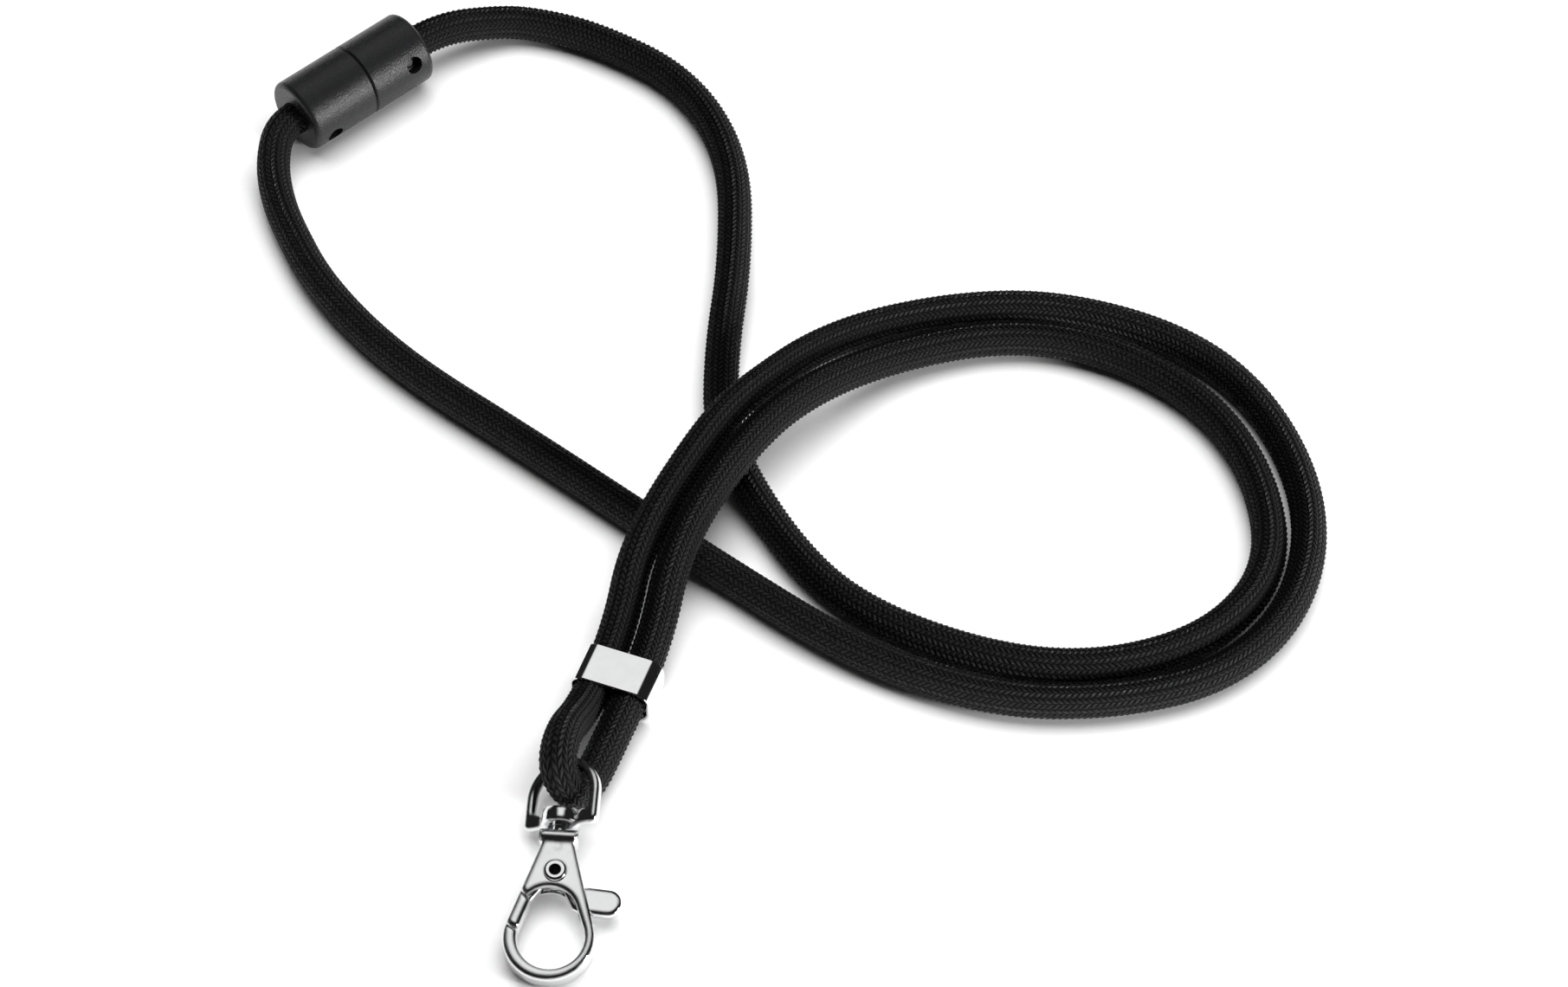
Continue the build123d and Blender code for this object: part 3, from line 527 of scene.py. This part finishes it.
rivet_chrome = chrome.copy()
rivet_chrome.name = "rivet_chrome"
rt = rivet_chrome.node_tree
shader = rt.nodes["Principled BSDF"]
from_middle = add(rt, "ShaderNodeVectorMath", operation="SUBTRACT")
rt.links.new(add(rt, "ShaderNodeTexCoord").outputs["Object"], from_middle.inputs[0])
from_middle.inputs[1].default_value = RIVET_MIDDLE
turned = add(rt, "ShaderNodeVectorMath", operation="CROSS_PRODUCT")
rt.links.new(from_middle.outputs[0], turned.inputs[0])
turned.inputs[1].default_value = RIVET_AXIS
reach = add(rt, "ShaderNodeVectorMath", operation="LENGTH")
rt.links.new(turned.outputs[0], reach.inputs[0])
rim = ramp(rt, reach.outputs["Value"], BORE_EDGE, RIM_EDGE)
rt.links.new(two_colours(rt, rim, BORE_BLACK, CHROME), shader.inputs["Base Color"])
rt.links.new(ramp(rt, rim, 0.0, 1.0, 0.75, 0.06), shader.inputs["Roughness"])
print("finish", rivet_chrome.name)

# %% [markdown]
# Inside each half of the barrel the cord's cut end is held by the pin. Only a sliver of it could ever
# be seen, past the pin, so it gets a matted black fibre instead of a modelled braid.

# %% Matted fibre of the cut ends
fibre, ft, shader = new_finish("matted_black_fibre", Roughness=0.9)
strands = noise(ft, 1800.0, 3.0, 0.6, (1.0, 1.0, 3.0))
ft.links.new(bump(ft, strands, 0.0002, 0.8), shader.inputs["Normal"])
blacks = two_colours(ft, strands, (0.002, 0.002, 0.002), (0.014, 0.014, 0.015))
ft.links.new(blacks, shader.inputs["Base Color"])
print("finish", fibre.name)

# %% [markdown]
# ## Make the cord
# The tree is put on a mesh that holds only the route's line, its inputs are set by their identifiers,
# and the result is turned into a plain mesh. The cord crosses the joint that lets the socket half
# slide off the plug half: the large loop stays, and the last stretch gives. So it blends between the
# two bodies over the left side of the loop.

# %% Braided cord
SINK_ALLOWANCE = 0.00008  # added to the width, because most of the relief lies inwards

cord = bpy.data.objects.new("braided_cord", line)
bpy.context.scene.collection.objects.link(cord)
sweeping = cord.modifiers.new("braid", "NODES")
sweeping.node_group = braid_tree
for name, value in (
    ("Width", CORD_WIDTH + SINK_ALLOWANCE),
    ("Columns", COLUMNS),
    ("Stitch", STITCH),
    ("Relief", RELIEF),
    ("Material", braid),
):
    sweeping[socket_named(braid_tree, name)] = value
bpy.context.view_layer.update()
swept = cord.evaluated_get(bpy.context.evaluated_depsgraph_get())
finished = bpy.data.meshes.new_from_object(swept)
cord.modifiers.clear()
cord.data = finished
if not finished.materials:
    finished.materials.append(braid)
bpy.data.objects.remove(route_object)
print("braid has", len(finished.polygons), "faces and attributes", [a.name for a in finished.attributes])

# %% Tie the cord to the frame
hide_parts("cord", "cord_by_socket")
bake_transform(cord, "cord_side", "socket_half", start=(-0.012, 0.04, 0.003), end=(-0.028, 0.04, 0.003))
print("cord is declared")

# %% [markdown]
# ## Give the rigid parts their finishes
# Each CAD part keeps its mesh and only gets a finish in its material slot.

# %% Finishes on the CAD parts
FINISH_OF = {
    "release_plug": barrel_plastic,
    "release_socket": barrel_plastic,
    "plug_pin": pin_plastic,
    "socket_pin": pin_plastic,
    "plug_cord_end": fibre,
    "socket_cord_end": fibre,
    "sleeve": chrome,
    "swivel_eye": cast_chrome,
    "swivel_stud": chrome,
    "hook_body": cast_chrome,
    "gate_lever": cast_chrome,
    "gate_rivet": rivet_chrome,
    "gate_spring": wire_steel,
}
for name, finish in FINISH_OF.items():
    part = nodes[name]
    if not part.data.materials:
        part.data.materials.append(finish)
    for holder in part.material_slots:
        holder.material = finish
print("finishes on", len(FINISH_OF), "parts")

# %% [markdown]
# ## Table and light
# Bright metal needs something to reflect. In a product studio that is a white table, a white tent and
# dark surroundings that draw the outline of the chrome. The table is a plain white sheet. The sky of
# the world is the studio: nearly black, with a large soft patch overhead and a small one at the right.
# The camera itself sees it as white. A large area light overhead gives the soft shadows and is hidden
# from reflections, and a small one stands low at the right.

# %% White table
table_data = bpy.data.meshes.new("table")
TABLE_HALF = 1.6
TABLE_TOP = -0.00005
table_data.from_pydata(
    [
        (x_side * TABLE_HALF, y_side * TABLE_HALF, TABLE_TOP)
        for x_side, y_side in ((-1, -1), (1, -1), (1, 1), (-1, 1))
    ],
    [], [(0, 1, 2, 3)],
)
table = bpy.data.objects.new("table", table_data)
bpy.context.scene.collection.objects.link(table)
PAPER_GRAIN = 900.0

paper, pt, shader = new_finish("white_paper", Roughness=0.9, Specular_IOR_Level=0.1)
whites = two_colours(pt, noise(pt, PAPER_GRAIN), (0.90, 0.90, 0.90), (0.93, 0.93, 0.93))
pt.links.new(whites, shader.inputs["Base Color"])
table_data.materials.append(paper)
print("table is", 2 * TABLE_HALF, "m square")

# %% Studio sky
DARKEST_SKY = 0.015
WHITE = (1, 1, 1, 1)

world = bpy.data.worlds.new("studio")
bpy.context.scene.world = world
world.use_nodes = True
wt = world.node_tree
sky = wt.nodes["Background"]
where = add(wt, "ShaderNodeTexCoord").outputs["Generated"]


def glow(direction, inner, outer, brightness):
    """A round bright patch of sky that fades between two angles from its middle, in degrees."""
    toward = add(wt, "ShaderNodeVectorMath", operation="DOT_PRODUCT")
    wt.links.new(where, toward.inputs[0])
    toward.inputs[1].default_value = Vector(direction).normalized()
    patch = add(
        wt, "ShaderNodeMapRange", interpolation_type="SMOOTHSTEP",
        in_1=math.cos(math.radians(outer)), in_2=math.cos(math.radians(inner)),
        in_3=0.0, in_4=brightness,
    )
    wt.links.new(toward.outputs["Value"], patch.inputs[0])
    return patch.outputs[0]


overhead_glow = glow((0.0, 0.49, 0.87), 13, 25, 0.88)
side_glow = glow((0.90, -0.42, 0.30), 6, 16, 1.2)
light_sum = sums(wt, "ADD", sums(wt, "MAXIMUM", overhead_glow, side_glow), DARKEST_SKY)
wt.links.new(light_sum, sky.inputs["Strength"])
sky.inputs["Color"].default_value = WHITE
plain = add(wt, "ShaderNodeBackground", in_Color=WHITE, in_Strength=1.0)
pick = add(wt, "ShaderNodeMixShader")
wt.links.new(add(wt, "ShaderNodeLightPath").outputs["Is Camera Ray"], pick.inputs[0])
wt.links.new(sky.outputs[0], pick.inputs[1])
wt.links.new(plain.outputs[0], pick.inputs[2])
wt.links.new(pick.outputs[0], wt.nodes["World Output"].inputs["Surface"])
print("studio sky has", len(wt.nodes), "nodes")


# %% Soft lights
LAMP_AIM = Vector((0.05, 0.0, 0.0))


def soft_light(name, place, size, watts):
    lamp = bpy.data.objects.new(name, bpy.data.lights.new(name, "AREA"))
    lamp.data.shape = "RECTANGLE"
    lamp.data.size, lamp.data.size_y = size
    lamp.data.energy = watts
    lamp.location = place
    lamp.rotation_euler = (LAMP_AIM - Vector(place)).to_track_quat("-Z", "Y").to_euler()
    bpy.context.scene.collection.objects.link(lamp)
    return lamp


above = soft_light("overhead", (0.15, 0.30, 1.1), (1.4, 1.1), 20.0)
above.visible_glossy = False
soft_light("right_side", (0.82, -0.32, 0.17), (0.16, 0.18), 8.0)
bpy.context.scene.view_settings.view_transform = "Standard"
print("lights are set")

# %% Finish
bpy.context.view_layer.update()
